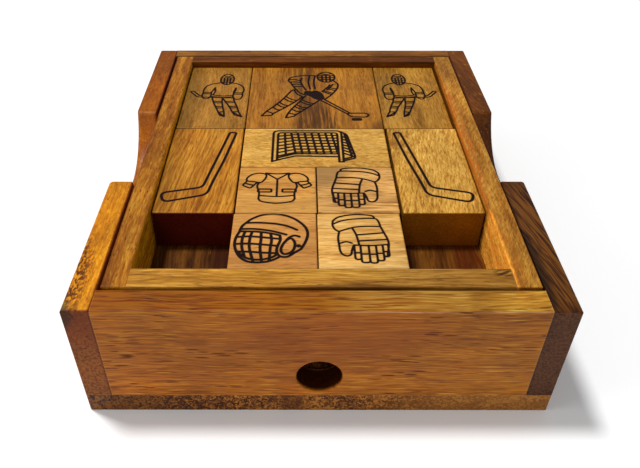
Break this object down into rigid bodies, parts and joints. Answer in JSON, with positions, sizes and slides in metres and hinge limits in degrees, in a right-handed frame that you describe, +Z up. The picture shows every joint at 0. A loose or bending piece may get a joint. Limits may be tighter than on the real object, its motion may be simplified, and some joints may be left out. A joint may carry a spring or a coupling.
{
  "type": "sliding block puzzle box",
  "caption": "Flat wooden sliding-block puzzle with engraved blocks in a lift-out tray, nested in an open box with finger notches and a round hole in its front wall.",
  "frame": {"origin": "middle of the box's underside, on the surface it stands on", "axes": "+Z up through the open tray, +Y from the wall with the finger hole to the back wall (the long way), +X to the right seen from the wall with the hole"},
  "size_m": [0.1508, 0.18, 0.0466],
  "materials": {
    "bottom_panel": "satin varnish",
    "front_wall": "satin varnish",
    "back_wall": "satin varnish",
    "left_wall": "satin varnish",
    "right_wall": "satin varnish",
    "left_cleat": "satin varnish",
    "right_cleat": "satin varnish",
    "tray_floor": "satin varnish",
    "tray_left_rail": "satin varnish",
    "tray_right_rail": "satin varnish",
    "tray_front_rail": "satin varnish",
    "tray_back_rail": "satin varnish",
    "block_player_left": "satin varnish",
    "block_player_centre": "satin varnish",
    "block_player_right": "satin varnish",
    "block_stick_left": "satin varnish",
    "block_goal_net": "satin varnish",
    "block_stick_right": "satin varnish",
    "block_shoulder_pads": "satin varnish",
    "block_glove_rear": "satin varnish",
    "block_helmet": "satin varnish",
    "block_glove_front": "satin varnish"
  },
  "bodies": {
    "box": {"bottom_panel": "bottom_panel", "front_wall": "front_wall", "back_wall": "back_wall", "left_wall": "left_wall", "right_wall": "right_wall", "left_cleat": "left_cleat", "right_cleat": "right_cleat"},
    "tray": {"tray_floor": "tray_floor", "tray_left_rail": "tray_left_rail", "tray_right_rail": "tray_right_rail", "tray_front_rail": "tray_front_rail", "tray_back_rail": "tray_back_rail"},
    "block_player_left": {"block_player_left": "block_player_left"},
    "block_player_centre": {"block_player_centre": "block_player_centre"},
    "block_player_right": {"block_player_right": "block_player_right"},
    "block_stick_left": {"block_stick_left": "block_stick_left"},
    "block_goal_net": {"block_goal_net": "block_goal_net"},
    "block_stick_right": {"block_stick_right": "block_stick_right"},
    "block_shoulder_pads": {"block_shoulder_pads": "block_shoulder_pads"},
    "block_glove_rear": {"block_glove_rear": "block_glove_rear"},
    "block_helmet": {"block_helmet": "block_helmet"},
    "block_glove_front": {"block_glove_front": "block_glove_front"}
  },
  "joints": [
    {"name": "tray_lift", "type": "slide", "parent": "box", "child": "tray", "axis": [0, 0, 1], "range_m": [0, 0.04]},
    {"name": "player_left_lift", "type": "slide", "parent": "tray", "child": "block_player_left", "axis": [0, 0, 1], "range_m": [0, 0.03]},
    {"name": "player_centre_lift", "type": "slide", "parent": "tray", "child": "block_player_centre", "axis": [0, 0, 1], "range_m": [0, 0.03]},
    {"name": "player_right_lift", "type": "slide", "parent": "tray", "child": "block_player_right", "axis": [0, 0, 1], "range_m": [0, 0.03]},
    {"name": "stick_left_slide", "type": "slide", "parent": "tray", "child": "block_stick_left", "axis": [0, -1, 0], "range_m": [0, 0.0317]},
    {"name": "goal_net_lift", "type": "slide", "parent": "tray", "child": "block_goal_net", "axis": [0, 0, 1], "range_m": [0, 0.03]},
    {"name": "stick_right_slide", "type": "slide", "parent": "tray", "child": "block_stick_right", "axis": [0, -1, 0], "range_m": [0, 0.0317]},
    {"name": "shoulder_pads_lift", "type": "slide", "parent": "tray", "child": "block_shoulder_pads", "axis": [0, 0, 1], "range_m": [0, 0.03]},
    {"name": "glove_rear_lift", "type": "slide", "parent": "tray", "child": "block_glove_rear", "axis": [0, 0, 1], "range_m": [0, 0.03]},
    {"name": "helmet_slide", "type": "slide", "parent": "tray", "child": "block_helmet", "axis": [1, 0, 0], "range_m": [-0.0289, 0]},
    {"name": "glove_front_slide", "type": "slide", "parent": "tray", "child": "block_glove_front", "axis": [-1, 0, 0], "range_m": [-0.0302, 0]}
  ]
}
